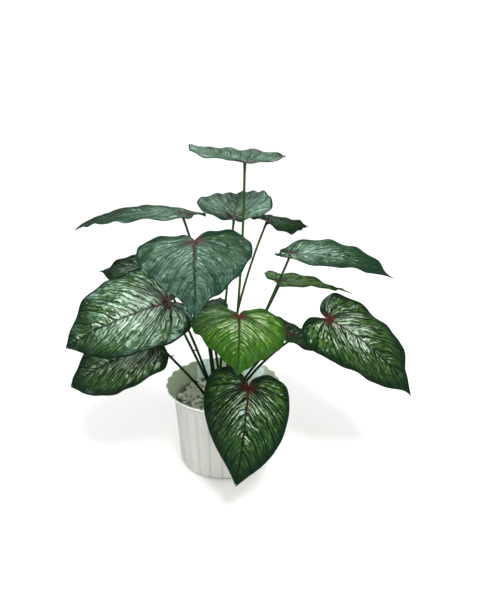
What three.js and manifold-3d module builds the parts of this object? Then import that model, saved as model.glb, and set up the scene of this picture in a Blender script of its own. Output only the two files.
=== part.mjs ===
// Potted caladium: fifteen heart-shaped blades on slender stems, in a pleated pot topped with gravel.
// Millimetres, +Z up. The underside of the pot lies at z = 0 and its axis is the Z axis.
import * as THREE from "three";
import { ConvexGeometry } from "three/addons/geometries/ConvexGeometry.js";
import { mergeVertices } from "three/addons/utils/BufferGeometryUtils.js";
import Module from "manifold-3d";

const wasm = await Module();
wasm.setup();
const { Manifold, Mesh: SolidMesh } = wasm;

// Pot
const POT_HEIGHT = 101;
const POT_FOOT_RADIUS = 52;
const POT_FOOT_ROUND = 7.5;
const POT_NECK_RADIUS = 57;
const POT_NECK_Z = 82;
const POT_RIM_RADIUS = 66.5;
const POT_WALL = 2;
const COLLAR_WALL = 1.6;
const FOOT_STEPS = 3;
const COLLAR_STEPS = 3;
const COLLAR_FLARE = 1.7;
const PLEATS = 24;
const PLEAT_STEPS = 3;
const PLEAT_DEPTH = 0.7;
const SCALLOP_RISE = 1.6;
const SCALLOP_RIPPLE = 1.2;

// Filling
const FIT_GAP = 0.3;
const SEAT_MARGIN = 0.1;
const FILLING_SIDES = 48;
const SOIL_TOP = 78;
const GRAVEL_BASE = 2.6;
const GRAVEL_TOP = 84;
const GRAVEL_RADIUS = 54;
const CHIP_COUNT = 84;
const CHIP_SIZE = 4.4;
const CHIP_LOW_CORNERS = 4;
const CHIP_HIGH_CORNERS = 3;
const GOLDEN_ANGLE = 2.39996;
const STEM_DEPTH_Z = 75;
const STEM_FREE_Z = 89;

// Stems
const STEM_RADIUS = 1.7;
const STEM_SIDES = 8;
const STEM_STEPS = 11;
const STEM_STRAIGHT_LOW = 0.35;
const STEM_STRAIGHT_HIGH = 0.3;
const HOLE_CLEARANCE = 0.35;
const HOLE_SIDES = 8;

// Blades
const BLADE_THICKNESS = 0.8;
const VEINS_A_SIDE = 7;
const VEIN_DEPTH = 0.9;
const BLADE_COLUMNS = [0, 0.16, 0.5, 0.8, 1];
const MIDRIB_START = 2;
const VEIN_BOW = 0.1;
const VEIN_SLANT = 1.05;
const VEIN_SOFTNESS = 0.1;
const QUILT_REACH = 0.87;
const QUILT_FADE = 0.2;
const RIPPLES_A_SIDE = 2.5;
const RIPPLE_OFFSET = 0.37;
const RIPPLE_FADE = 0.13;
const HALF_WIDTH = 0.45;
const LOBE_END = 0.42;
const LOBE_CURVE = [[0, 0], [0.05, -0.25], [0.44, -0.31], [0.45, 0.1]];
const SIDE_CURVE = [[0.45, 0.1], [0.46, 0.52], [0.06, 0.78], [0, 1]];

// Colours
const GREEN_DEEP = 0x2f5238;
const GREEN_TEAL = 0x4b7263;
const GREEN_LIGHT = 0x5f8f45;
const STEM_GREEN = 0x3f6335;
const POT_WHITE = 0xdcded4;
const GRAVEL_GREY = 0xb9beb0;
const SOIL_BROWN = 0x3a2a20;

// One entry a leaf. "at" is the point where blade and stem meet, "foot" is the stem in the gravel.
// heading: degrees from +X toward +Y, pitch: tip up, roll: right side down, length: attachment to tip.
// lobe: length of the two back lobes, full and skew: breadth near the tip of both halves and the
// right one's share more, sweep: tip swung to the right, fold and curl: across the blade, bend and
// twist: along it, lean and arch: how far the stem slants at the gravel and under the blade.
const LEAVES = [
  { name: "top", at: [25, 10, 352], foot: [5, 3], heading: 120, pitch: 4, roll: 2, length: 116,
    width: 0.96, lobe: 0.9, full: 0.06, skew: 0, sweep: 0, fold: 18, curl: -18, bend: 1, twist: 6,
    wave: 0.005, phase: 0.75, lean: 9, arch: -0.06, tint: GREEN_DEEP },
  { name: "back", at: [13, 52, 285], foot: [-5, 10], heading: 86, pitch: 10, roll: 2, length: 107,
    width: 0.97, lobe: 0.95, full: 0.03, skew: 0.06, sweep: 0, fold: 28, curl: -18, bend: -5,
    twist: -7, wave: 0.01, phase: 0.3, lean: 8, arch: 0.05, tint: GREEN_TEAL },
  { name: "left_high", at: [-43, 13, 298], foot: [-8, 3], heading: 168, pitch: 7, roll: 6,
    length: 123, width: 0.95, lobe: 0.8, full: 0.23, skew: 0.06, sweep: -0.05, fold: 6,
    curl: -16, bend: -33, twist: -14, wave: 0, phase: 0.4, lean: 6, arch: 0.2, tint: GREEN_TEAL },
  { name: "right_back", at: [52, 60, 281], foot: [2, 13], heading: 37, pitch: -6, roll: 9,
    length: 71, width: 0.98, lobe: 0.75, full: 0.03, skew: 0, sweep: 0, fold: 5, curl: -20,
    bend: -14, twist: 2, wave: 0.02, phase: 0.2, lean: 6, arch: 0.25, tint: GREEN_DEEP },
  { name: "front_high", at: [-24, -58, 285], foot: [-2, -6], heading: 274, pitch: -9, roll: 3,
    length: 122, width: 1, lobe: 0.9, full: 0.04, skew: 0, sweep: 0, fold: 4, curl: -13,
    bend: -13, twist: -4, wave: 0.01, phase: 0.85, lean: 8, arch: 0, tint: GREEN_TEAL },
  { name: "left_back", at: [-73, 20, 235], foot: [-13, 5], heading: 151, pitch: -2, roll: -18,
    length: 97, width: 0.88, lobe: 1.1, full: 0.02, skew: 0, sweep: 0, fold: 6, curl: -12,
    bend: -21, twist: -2, wave: 0.02, phase: 0.95, lean: 16, arch: 0.1, tint: GREEN_DEEP },
  { name: "left_mid", at: [-54, -41, 216], foot: [-10, -8], heading: 190, pitch: -13, roll: -28,
    length: 118, width: 1.05, lobe: 0.85, full: 0.27, skew: 0.06, sweep: 0, fold: 10, curl: -10,
    bend: -24, twist: -11, wave: 0.015, phase: 0, lean: 20, arch: 0, tint: GREEN_DEEP },
  { name: "left_low", at: [-69, -37, 168], foot: [-17, -11], heading: 186, pitch: -17, roll: -25,
    length: 110, width: 0.97, lobe: 0.45, full: 0.26, skew: -0.03, sweep: 0, fold: 12, curl: -9,
    bend: -24, twist: -15, wave: 0.025, phase: 0.2, lean: 30, arch: 0, tint: GREEN_DEEP },
  { name: "front_mid", at: [19, -83, 217], foot: [4, -11], heading: 271, pitch: -2, roll: -7,
    length: 102, width: 1, lobe: 1.15, full: 0.07, skew: 0, sweep: 0.02, fold: 3, curl: -19,
    bend: -8, twist: -9, wave: 0.01, phase: 0.3, lean: 18, arch: 0, tint: GREEN_LIGHT },
  { name: "front_low", at: [29, -64, 130], foot: [9, -16], heading: 265, pitch: -32, roll: -16,
    length: 99, width: 1.02, lobe: 0.95, full: 0.18, skew: -0.06, sweep: 0, fold: 2, curl: -10,
    bend: -30, twist: 15, wave: 0.015, phase: 0.35, lean: 20, arch: 0.1, tint: GREEN_DEEP },
  { name: "right_high", at: [76, 10, 254], foot: [10, 0], heading: -8, pitch: 7, roll: -5,
    length: 113, width: 0.95, lobe: 0.65, full: 0.03, skew: 0, sweep: 0, fold: 9, curl: -9,
    bend: -35, twist: 26, wave: 0.02, phase: 0.2, lean: 18, arch: 0, tint: GREEN_TEAL },
  { name: "right_inner", at: [69, 50, 209], foot: [9, 9], heading: 16, pitch: -6, roll: -3,
    length: 89, width: 0.95, lobe: 0.8, full: 0.03, skew: 0, sweep: 0.15, fold: 13, curl: -14,
    bend: -12, twist: 0, wave: 0.015, phase: 0.6, lean: 22, arch: 0, tint: GREEN_LIGHT },
  { name: "right_low", at: [115, -20, 189], foot: [15, -5], heading: -25, pitch: -18, roll: 10,
    length: 121, width: 1.04, lobe: 0.7, full: 0.15, skew: 0, sweep: 0, fold: 7, curl: -14,
    bend: -40, twist: 9, wave: 0.02, phase: 0.4, lean: 28, arch: 0.5, tint: GREEN_DEEP },
  { name: "right_back_low", at: [77, 35, 148], foot: [16, 4], heading: 36, pitch: -18, roll: 12,
    length: 95, width: 0.93, lobe: 0.95, full: 0.05, skew: 0, sweep: 0, fold: 10, curl: -19,
    bend: -22, twist: 0, wave: 0.02, phase: 0.1, lean: 30, arch: 0.2, tint: GREEN_DEEP },
  { name: "back_small", at: [-23, 40, 178], foot: [-12, 11], heading: 77, pitch: 3, roll: -7,
    length: 59, width: 1, lobe: 1, full: 0.02, skew: 0, sweep: 0, fold: 3, curl: -22, bend: -21,
    twist: -6, wave: 0.025, phase: 0.85, lean: 10, arch: 0, tint: GREEN_DEEP },
];

const radians = (degrees) => (degrees * Math.PI) / 180;
const mix = (a, b, t) => a + (b - a) * t;
const clamp01 = (t) => Math.min(1, Math.max(0, t));

// Repeatable pseudo-random numbers between 0 and 1
function dice(seed) {
  let state = seed;
  return () => {
    state = (state * 48271) % 2147483647;
    return state / 2147483647;
  };
}

// Point on a cubic curve through its four control points
function cubic(points, t) {
  const w = [(1 - t) ** 3, 3 * t * (1 - t) ** 2, 3 * t * t * (1 - t), t ** 3];
  return points[0].map((_, axis) => w.reduce((sum, k, i) => sum + k * points[i][axis], 0));
}

// Margin of a flat blade of unit length: q = 0 at the notch, q = 1 at the tip
function margin(q, full) {
  if (q < LOBE_END) return cubic(LOBE_CURVE, q / LOBE_END);
  const t = (q - LOBE_END) / (1 - LOBE_END);
  const [x, y] = cubic(SIDE_CURVE, t);
  return [x + full * 3 * t * t * (1 - t), y];
}

// Where on the midrib the vein that ends at q starts, as a share of the length
function veinRoot(q) {
  if (q < LOBE_END) return 0;
  const behind = ([x, y]) => {
    const straight = y - VEIN_SLANT * x;
    return 0.5 * (straight + Math.hypot(straight, VEIN_SOFTNESS));
  };
  const first = behind(SIDE_CURVE[0]);
  return clamp01((behind(margin(q, 0)) - first) / (1 - first));
}

// Travel along a line that starts at an angle and turns steadily
function arc(angle, turn, distance) {
  if (Math.abs(turn) < 1e-9) return [distance * Math.cos(angle), distance * Math.sin(angle)];
  const end = angle + turn * distance;
  return [(Math.sin(end) - Math.sin(angle)) / turn, (Math.cos(angle) - Math.cos(end)) / turn];
}

// Forward, right and up directions of a leaf at its attachment
function leafAxes(leaf) {
  const psi = radians(leaf.heading);
  const theta = radians(leaf.pitch);
  const rho = radians(leaf.roll);
  const forward = new THREE.Vector3(
    Math.cos(psi) * Math.cos(theta),
    Math.sin(psi) * Math.cos(theta),
    Math.sin(theta),
  );
  const level = new THREE.Vector3(Math.sin(psi), -Math.cos(psi), 0);
  const upright = level.clone().cross(forward);
  const right = level.multiplyScalar(Math.cos(rho)).addScaledVector(upright, -Math.sin(rho));
  return { forward, right, up: right.clone().cross(forward) };
}

// Point of the middle surface: q along the margin, s from midrib to margin, side 1 right or -1 left
function bladePoint(leaf, axes, q, s, side) {
  const end = margin(q, leaf.full + side * leaf.skew);
  if (end[1] < 0) end[1] *= leaf.lobe;
  const start = [0, veinRoot(q)];
  const across = [end[0] - start[0], end[1] - start[1]];
  const middle = [
    (start[0] + end[0]) / 2 + VEIN_BOW * across[1],
    (start[1] + end[1]) / 2 - VEIN_BOW * across[0],
  ];
  const flat = [0, 1].map(
    (i) => (1 - s) ** 2 * start[i] + 2 * s * (1 - s) * middle[i] + s * s * end[i],
  );
  const x = flat[0] * leaf.length * leaf.width;
  const y = flat[1] * leaf.length;
  const half = HALF_WIDTH * leaf.length * leaf.width;
  const [out, rise] = arc(radians(leaf.fold), radians(leaf.curl) / half, x);
  const turn = y > 0 ? radians(leaf.bend) / leaf.length : 0;
  const [ahead, drop] = arc(0, turn, y);
  const slope = turn * y;
  const phase = leaf.phase + (side > 0 ? RIPPLE_OFFSET : 0);
  const calm = clamp01(Math.min(q, 1 - q) / RIPPLE_FADE);
  const ripple = leaf.wave * leaf.length * s * s * calm
    * Math.sin(2 * Math.PI * (RIPPLES_A_SIDE * q + phase));
  const quilt = VEIN_DEPTH * 0.5 * Math.cos(2 * Math.PI * VEINS_A_SIDE * q)
    * Math.sin(Math.PI * Math.min(1, s / QUILT_REACH)) * clamp01((1 - q) / QUILT_FADE);
  const lift = rise + ripple + quilt;
  const twist = radians(leaf.twist) * (y / leaf.length);
  const swing = (leaf.sweep * Math.max(y, 0) ** 2) / leaf.length;
  const sideways = side * out * Math.cos(twist) + lift * Math.sin(twist) + swing;
  const height = -side * out * Math.sin(twist) + lift * Math.cos(twist);
  return new THREE.Vector3(...leaf.at)
    .addScaledVector(axes.right, sideways)
    .addScaledVector(axes.forward, ahead - height * Math.sin(slope))
    .addScaledVector(axes.up, drop + height * Math.cos(slope));
}

// Closed geometry from points and triangles
function closedGeometry(points, faces) {
  const geometry = new THREE.BufferGeometry();
  geometry.setAttribute(
    "position",
    new THREE.Float32BufferAttribute(points.flatMap((p) => [p.x, p.y, p.z]), 3),
  );
  geometry.setIndex(faces.flat());
  return geometry;
}

// Middle surface of a blade as points, triangles and the loop of its margin
function bladeSheet(leaf) {
  const axes = leafAxes(leaf);
  const rows = 2 * VEINS_A_SIDE;
  const last = BLADE_COLUMNS.length - 1;
  const points = [new THREE.Vector3(...leaf.at)];
  const midrib = [0];
  for (let row = 1; row < rows; row += 1) {
    const q = row / rows;
    if (veinRoot(q) * leaf.length < MIDRIB_START) {
      midrib.push(0);
    } else {
      midrib.push(points.length);
      points.push(bladePoint(leaf, axes, q, 0, 1));
    }
  }
  const tip = points.length;
  points.push(bladePoint(leaf, axes, 1, 0, 1));
  const faces = [];
  const margins = [];
  for (const side of [1, -1]) {
    const grid = [];
    for (let row = 1; row < rows; row += 1) {
      const line = [midrib[row]];
      for (let column = 1; column <= last; column += 1) {
        line.push(points.length);
        points.push(bladePoint(leaf, axes, row / rows, BLADE_COLUMNS[column], side));
      }
      grid.push(line);
    }
    grid.push(new Array(last + 1).fill(tip));
    const add = (a, b, c) => {
      if (a === b || b === c || c === a) return;
      faces.push(side > 0 ? [a, b, c] : [a, c, b]);
    };
    for (let row = 0; row + 1 < grid.length; row += 1) {
      for (let column = 0; column < last; column += 1) {
        const a = grid[row][column];
        const b = grid[row][column + 1];
        const c = grid[row + 1][column + 1];
        const d = grid[row + 1][column];
        add(a, b, c);
        add(a, c, d);
      }
    }
    margins.push([...grid[0], ...grid.slice(1, -1).map((line) => line[last])]);
  }
  const loop = [...margins[0], tip, ...margins[1].slice(1).reverse()];
  return { points, faces, loop };
}

// Blade solid: the sheet moved half a thickness up and down, closed along the margin
function bladeGeometry(leaf) {
  const { points, faces, loop } = bladeSheet(leaf);
  const sheet = closedGeometry(points, faces);
  sheet.computeVertexNormals();
  const normals = sheet.getAttribute("normal");
  const half = BLADE_THICKNESS / 2;
  const shifted = (sign) =>
    points.map((p, i) =>
      p.clone().addScaledVector(new THREE.Vector3().fromBufferAttribute(normals, i), sign * half),
    );
  const count = points.length;
  const solid = [...shifted(1), ...shifted(-1)];
  const shell = faces.flatMap(([a, b, c]) => [[a, b, c], [a + count, c + count, b + count]]);
  loop.forEach((a, i) => {
    const b = loop[(i + 1) % loop.length];
    shell.push([a, a + count, b], [b, a + count, b + count]);
  });
  return closedGeometry(solid, shell);
}

// Straight foot of a stem: which way is outward, how it leans, and its point at a height
function stemFoot(leaf) {
  const out = new THREE.Vector3(leaf.at[0] - leaf.foot[0], leaf.at[1] - leaf.foot[1], 0).normalize();
  const lean = radians(leaf.lean);
  const direction = new THREE.Vector3(0, 0, Math.cos(lean)).addScaledVector(out, Math.sin(lean));
  const surface = new THREE.Vector3(leaf.foot[0], leaf.foot[1], GRAVEL_TOP);
  const reach = (z) => surface.clone().addScaledVector(direction, (z - GRAVEL_TOP) / direction.z);
  return { out, direction, reach };
}

// Centre line of a stem from the soil to the underside of its blade
function stemPath(leaf) {
  const { out, direction, reach } = stemFoot(leaf);
  const { up } = leafAxes(leaf);
  const at = new THREE.Vector3(...leaf.at);
  const free = reach(STEM_FREE_Z);
  const span = at.distanceTo(free);
  const chord = at.clone().sub(free).normalize();
  const arrival = chord.addScaledVector(out, leaf.arch).normalize();
  const square = arrival.dot(up);
  const edge = STEM_RADIUS * Math.sqrt(1 - square * square);
  const below = BLADE_THICKNESS / 2 + FIT_GAP + SEAT_MARGIN + edge;
  const end = at.clone().addScaledVector(arrival, -below / square);
  const path = new THREE.CurvePath();
  path.add(new THREE.LineCurve3(reach(STEM_DEPTH_Z), free));
  path.add(new THREE.CubicBezierCurve3(
    free,
    free.clone().addScaledVector(direction, span * STEM_STRAIGHT_LOW),
    end.clone().addScaledVector(arrival, -span * STEM_STRAIGHT_HIGH),
    end,
  ));
  return path;
}

// Stem: a round section carried along its centre line
function stemGeometry(leaf) {
  const section = new THREE.Shape().absarc(0, 0, STEM_RADIUS, 0, 2 * Math.PI);
  return new THREE.ExtrudeGeometry(section, {
    steps: STEM_STEPS,
    curveSegments: STEM_SIDES / 2,
    extrudePath: stemPath(leaf),
  });
}

// Turned body, +Z up, from a profile of radius and height that starts and ends on the axis
function turned(profile, steps) {
  const points = profile.map(([radius, z]) => new THREE.Vector2(radius, z));
  return new THREE.LatheGeometry(points, steps).rotateX(Math.PI / 2);
}

// Rounded foot of the pot, from the flat to the wall, at a depth inside the outer surface
function footCurve(inset) {
  return Array.from({ length: FOOT_STEPS + 1 }, (_, k) => {
    const turn = (Math.PI / 2) * (k / FOOT_STEPS);
    const bend = POT_FOOT_ROUND - inset;
    const radius = POT_FOOT_RADIUS - POT_FOOT_ROUND + bend * Math.sin(turn);
    return [radius, POT_FOOT_ROUND - bend * Math.cos(turn), k / FOOT_STEPS, 0];
  });
}

// Collar of the pot, from the neck to the rim, with the wall growing thinner upwards
function collarCurve(neckInset, rimInset) {
  return Array.from({ length: COLLAR_STEPS + 1 }, (_, k) => {
    const t = k / COLLAR_STEPS;
    const radius = mix(POT_NECK_RADIUS, POT_RIM_RADIUS, t ** COLLAR_FLARE);
    const z = mix(POT_NECK_Z, POT_HEIGHT - SCALLOP_RISE, t);
    return [radius - mix(neckInset, rimInset, t), z, 1 - t, t * t];
  });
}

// Pot: turned, then pleated: grooves down the outside and scallops round the collar
function potGeometry() {
  const plain = ([radius, z, , scallop]) => [radius, z, 0, scallop];
  const inner = [...footCurve(POT_WALL), ...collarCurve(POT_WALL, COLLAR_WALL)];
  // Radius, height, share of the groove depth and share of the scallop
  const profile = [
    [0, 0, 0, 0],
    ...footCurve(0),
    ...collarCurve(0, 0),
    ...inner.reverse().map(plain),
    [0, POT_WALL, 0, 0],
  ];
  const steps = PLEATS * PLEAT_STEPS;
  const geometry = turned(profile, steps);
  const position = geometry.getAttribute("position");
  for (let i = 0; i < position.count; i += 1) {
    const [radius, , groove, scallop] = profile[i % profile.length];
    if (radius > 0) {
      const step = Math.floor(i / profile.length) % steps;
      const fold = Math.abs(Math.sin((Math.PI * step) / PLEAT_STEPS));
      const move = scallop * SCALLOP_RIPPLE * (fold - 0.5) - groove * PLEAT_DEPTH * (1 - fold);
      const factor = (radius + move) / radius;
      position.setX(i, position.getX(i) * factor);
      position.setY(i, position.getY(i) * factor);
      position.setZ(i, position.getZ(i) + scallop * SCALLOP_RISE * fold);
    }
  }
  return geometry;
}

// Solid used for cuts and joins, from a three.js geometry
function toSolid(geometry) {
  const bare = new THREE.BufferGeometry();
  bare.setAttribute("position", geometry.getAttribute("position"));
  if (geometry.getIndex()) bare.setIndex(geometry.getIndex());
  const merged = mergeVertices(bare, 1e-3);
  return new Manifold(new SolidMesh({
    numProp: 3,
    vertProperties: new Float32Array(merged.getAttribute("position").array),
    triVerts: new Uint32Array(merged.getIndex().array),
  }));
}

// three.js geometry from a solid
function fromSolid(solid) {
  const mesh = solid.getMesh();
  const geometry = new THREE.BufferGeometry();
  geometry.setAttribute("position", new THREE.BufferAttribute(mesh.vertProperties, 3));
  geometry.setIndex(new THREE.BufferAttribute(mesh.triVerts, 1));
  return geometry;
}

// Soil plug between the pot floor and the gravel
function soilSolid() {
  const inset = POT_WALL + FIT_GAP;
  const level = SOIL_TOP - FIT_GAP;
  const rise = (level - POT_FOOT_ROUND) / (POT_NECK_Z - POT_FOOT_ROUND);
  return toSolid(turned([
    [0, inset],
    ...footCurve(inset),
    [mix(POT_FOOT_RADIUS, POT_NECK_RADIUS, rise) - inset, level],
    [0, level],
  ], FILLING_SIDES));
}

// Plain round hole for one stem, through the gravel and into the soil
function stemHole(leaf) {
  const { direction, reach } = stemFoot(leaf);
  const low = reach(STEM_DEPTH_Z - FIT_GAP);
  const high = reach(POT_HEIGHT);
  const radius = (STEM_RADIUS + HOLE_CLEARANCE) / Math.cos(Math.PI / HOLE_SIDES);
  const rod = new THREE.CylinderGeometry(radius, radius, low.distanceTo(high), HOLE_SIDES);
  const turn = new THREE.Quaternion().setFromUnitVectors(new THREE.Vector3(0, 1, 0), direction);
  const middle = low.clone().add(high).multiplyScalar(0.5);
  rod.applyQuaternion(turn).translate(middle.x, middle.y, middle.z);
  return toSolid(rod);
}

// Uneven ring of chip corners at one height
function chipRing(centre, count, radius, height, random) {
  return Array.from({ length: count }, (_, k) => {
    const around = (2 * Math.PI * (k + 0.6 * random())) / count;
    const out = new THREE.Vector3(Math.cos(around), 0.85 * Math.sin(around), 0);
    return centre.clone().addScaledVector(out, radius).add(new THREE.Vector3(0, 0, height));
  });
}

// One angular stone chip standing half out of the layer
function chipSolid(centre, size, random) {
  const low = chipRing(centre, CHIP_LOW_CORNERS, size, -0.2 * size, random);
  const top = mix(0.4, 0.7, random()) * size;
  const high = chipRing(centre, CHIP_HIGH_CORNERS, 0.65 * size, top, random);
  return toSolid(new ConvexGeometry([...low, ...high]));
}

// Layer of stone chips, fused into one body
function gravelSolid() {
  const random = dice(20);
  const disc = new THREE.CylinderGeometry(GRAVEL_RADIUS, GRAVEL_RADIUS, GRAVEL_BASE, FILLING_SIDES);
  disc.rotateX(Math.PI / 2).translate(0, 0, SOIL_TOP + GRAVEL_BASE / 2);
  let layer = toSolid(disc);
  for (let i = 0; i < CHIP_COUNT; i += 1) {
    const radius = (GRAVEL_RADIUS - CHIP_SIZE - FIT_GAP) * Math.sqrt((i + 0.5) / CHIP_COUNT);
    const angle = i * GOLDEN_ANGLE;
    const height = SOIL_TOP + GRAVEL_BASE;
    const centre = new THREE.Vector3(radius * Math.cos(angle), radius * Math.sin(angle), height);
    layer = layer.add(chipSolid(centre, CHIP_SIZE * mix(0.75, 1, random()), random));
  }
  return layer;
}

const root = new THREE.Group();
root.name = "potted_caladium";

// Named mesh with its own material
function addPiece(name, geometry, colour, roughness) {
  const flat = geometry.getIndex() ? geometry.toNonIndexed() : geometry;
  flat.computeVertexNormals();
  const material = new THREE.MeshStandardMaterial({ color: colour, roughness });
  const mesh = new THREE.Mesh(flat, material);
  mesh.name = name;
  root.add(mesh);
}

addPiece("pot", potGeometry(), POT_WHITE, 0.55);
const holes = LEAVES.map(stemHole).reduce((all, hole) => all.add(hole));
addPiece("soil", fromSolid(soilSolid().subtract(holes)), SOIL_BROWN, 1);
addPiece("gravel", fromSolid(gravelSolid().subtract(holes)), GRAVEL_GREY, 0.8);
for (const leaf of LEAVES) {
  addPiece("blade_" + leaf.name, bladeGeometry(leaf), leaf.tint, 0.5);
  addPiece("petiole_" + leaf.name, stemGeometry(leaf), STEM_GREEN, 0.6);
}

export default root;
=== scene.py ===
"""Looks of the potted caladium: leaf blades, stems, pleated pot and stone chips, in metres, +Z up."""
import math
import random
from collections import namedtuple

import bpy
import numpy as np
from mathutils import Euler, Matrix, Vector, noise


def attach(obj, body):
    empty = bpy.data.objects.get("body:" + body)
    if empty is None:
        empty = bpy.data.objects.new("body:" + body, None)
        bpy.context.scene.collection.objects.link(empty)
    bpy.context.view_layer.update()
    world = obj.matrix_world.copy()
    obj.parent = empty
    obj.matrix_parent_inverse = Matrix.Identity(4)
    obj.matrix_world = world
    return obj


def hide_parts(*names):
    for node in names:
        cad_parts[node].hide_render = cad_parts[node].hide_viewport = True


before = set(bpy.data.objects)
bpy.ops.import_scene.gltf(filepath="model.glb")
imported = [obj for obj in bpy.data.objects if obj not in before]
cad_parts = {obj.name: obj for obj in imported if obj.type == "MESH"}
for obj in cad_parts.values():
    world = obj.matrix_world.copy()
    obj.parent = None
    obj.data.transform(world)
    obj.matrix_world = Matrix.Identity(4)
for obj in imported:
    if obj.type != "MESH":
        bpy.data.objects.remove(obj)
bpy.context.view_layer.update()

MM = 0.001

# Pot, in millimetres, counts and shares
POT_HEIGHT = 101
POT_FOOT_RADIUS = 52
POT_FOOT_ROUND = 7.5
POT_NECK_RADIUS = 57
POT_NECK_Z = 82
POT_RIM_RADIUS = 66.5
FOOT_DISC_INSET = 12
FOOT_STEPS = 6
BODY_STEPS = 8
COLLAR_STEPS = 10
COLLAR_WALL = 1.2
COLLAR_FLARE = 1.7
PLEATS = 24
POINTS_A_PLEAT = 16
PLEAT_DEPTH = 0.75
PLEAT_FADE = 0.6
GROOVE_WIDTH = 1.1
PANEL_CROWN = 0.25
SCALLOP_RISE = 1.6
SCALLOP_RIPPLE = 1.2
CRIMPS_A_PLEAT = 3
CRIMP_DEPTH = 0.35
LIP_ROUND = 0.35
RING_MARGIN = 0.1

# Corners of the pot, in degrees: sharper ones are bevelled, or not shaded smooth
LIP_CORNER = 50
SMOOTH_CORNER = 40

# Bands on the pot, from and to, in millimetres: painted shade under the lip, a painted highlight on its
# edge and the back of the collar; a panel of painted mint light's middle, half width and faded edge
LIP_SHADE_RISE = (93, 96.5)
LIP_HIGHLIGHT_RISE = (97.5, 98.5)
COLLAR_BACK = (20, 40)
PAINTED_LIGHT_PANELS = ((-24, 9, 11), (37, 11, 14))

# Filling, in millimetres or shares of a chip's size
SOIL_TOP = 78
CHIP_BED_TOP = 81.5
CHIP_BED_SIDES = 96
GRAVEL_TOP = 84
GRAVEL_RADIUS = 54
CHIP_COUNT = 165
CHIP_SIZE = 6.4
CHIP_SMALLEST = 0.65
CHIP_BREADTH = (0.7, 0.95)
CHIP_DEPTH = (0.34, 0.5)
CHIP_LIFT = (-1, 1.3)
CHIP_OVERHANG = 2
FACETS = 9
FACET_REACH = (0.5, 0.8)
STEM_CLEARANCE = 3.4

# Turns of the chips in radians, the step along their spiral in degrees, and the seed of their draws
CHIP_TILT = 0.35
CHIP_SPIN = 6.28
CHIP_SWAY = 0.12
GOLDEN_ANGLE = 137.508
CHIP_SEED = 5

# Stems, in millimetres or shares of the length
STEM_DEPTH_Z = 75
STEM_FREE_Z = 89
STEM_LIT_RISE = (90, 240)
STEM_RADIUS = 1.55
STEM_TAPER = 0.86
STEM_POINTS = 40
STEM_STRAIGHT_LOW = 0.35
STEM_STRAIGHT_HIGH = 0.3
STEM_END_GAP = 0.2
FOOT_SWELL = 0.22
FOOT_REACH = 0.1
NECK_SWELL = 0.28
NECK_PLACE = 0.985
NECK_REACH = 0.03
CAD_STEM_RADIUS = 1.7
CAD_BLADE_THICKNESS = 0.8
FIT_GAP = 0.3
SEAT_MARGIN = 0.1
NUBS = {"left_mid": (0.5,), "left_low": (0.74,)}
NUB_RADIUS = 0.9
NUB_TIP = 0.6
NUB_REACH = 3
NUB_SUNK = 0.6
NUB_SIDES = 12

# Blades, in millimetres or shares of the length
BLADE_THICKNESS = 0.5
VEINS_A_SIDE = 10
FINE_VEINS_A_PANEL = 3
ROWS_A_VEIN = 12
BLADE_COLUMNS = 18
MERGE_GAP = 0.02
VEIN_DEPTH = 1
VEIN_BOW = 0.17
VEIN_ENDS = (2.09, -1.84, 0.75)
FIRST_RIB_VEIN = 0.47
RIB_SPREAD = 1.15
VEIN_SOFTNESS = 0.1
QUILT_ROUNDNESS = 0.8
QUILT_REACH = 0.87
QUILT_FADE = 0.2
TIP_REACH = 0.035
TIP_SHARE = 0.1
RIPPLES_A_SIDE = 2.5
RIPPLE_OFFSET = 0.37
RIPPLE_FADE = 0.13
DENT_LENGTH = 15
DENT_HEIGHT = 1.6
DENT_VARIETY = 7
FRILLS_A_SIDE = 6.5
FRILL_HEIGHT = 1.1
FRILL_OFFSET = 3
HALF_WIDTH = 0.45
LOBE_END = 0.42
LOBE_CURVE = ((0, 0), (0.05, -0.25), (0.44, -0.31), (0.45, 0.1))
SIDE_CURVE = ((0.45, 0.1), (0.46, 0.52), (0.06, 0.78), (0, 1))

# Steps along and across the vein lines when a blade is measured, and what sets its patterns apart
MARGIN_POINTS = 160
VEIN_STEP = 0.004
OUTWARD_STEP = 0.02
FIRST_MEASURED = 0.005
LAST_MEASURED = 0.985
SHORTEST = 0.001
LEAF_SEED = 3.7
HALF_SEED = 50

# Camera, in metres and degrees, with its sensor and lens in millimetres
CAMERA_PLACE = (0.020, -0.578, 0.412)
CAMERA_TILT = 70.2
SENSOR_WIDTH = 36
LENS = 33

# Floor, lamps and surroundings, in metres and watts; a lamp's name, place, size and power
FLOOR_RADIUS = 40
FLOOR_SIDES = 128
LAMP_AIM = (0, 0, 0.2)
KEY_LAMP = ("key", (0.35, -1.2, 1.8), 0.5, 25)
SHEEN_LAMPS = (
    ("sheen_back", (-0.1, 1.05, 1.4), 0.8, 6),
    ("sheen_left", (-0.8, 0.05, 1.35), 0.45, 8),
    ("sheen_low", (0, 1.5, 0.8), 0.6, 0.4),
)
SHEEN_TINT = (0.7, 1, 0.86)
WALL_WHITE = {"From Min": 0.5, "From Max": 0.9, "To Min": 1.5, "To Max": 0.65}
MIRRORED_WHITE = {"To Min": 1, "To Max": 0.04}

# Numbers of the Mix node's sockets for colours
MIX_INPUTS = (0, 6, 7)
MIX_OUTPUT = 2

# A leaf's places and length are in millimetres, its turns and bends in degrees, its wave is a share of
# the length and its phase in turns; the others are factors of the outline, the stem's bow and the streaks
Leaf = namedtuple("Leaf", """name at foot heading pitch roll length width lobe full skew sweep
    fold curl bend twist wave phase lean arch finish streaking""")

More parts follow.
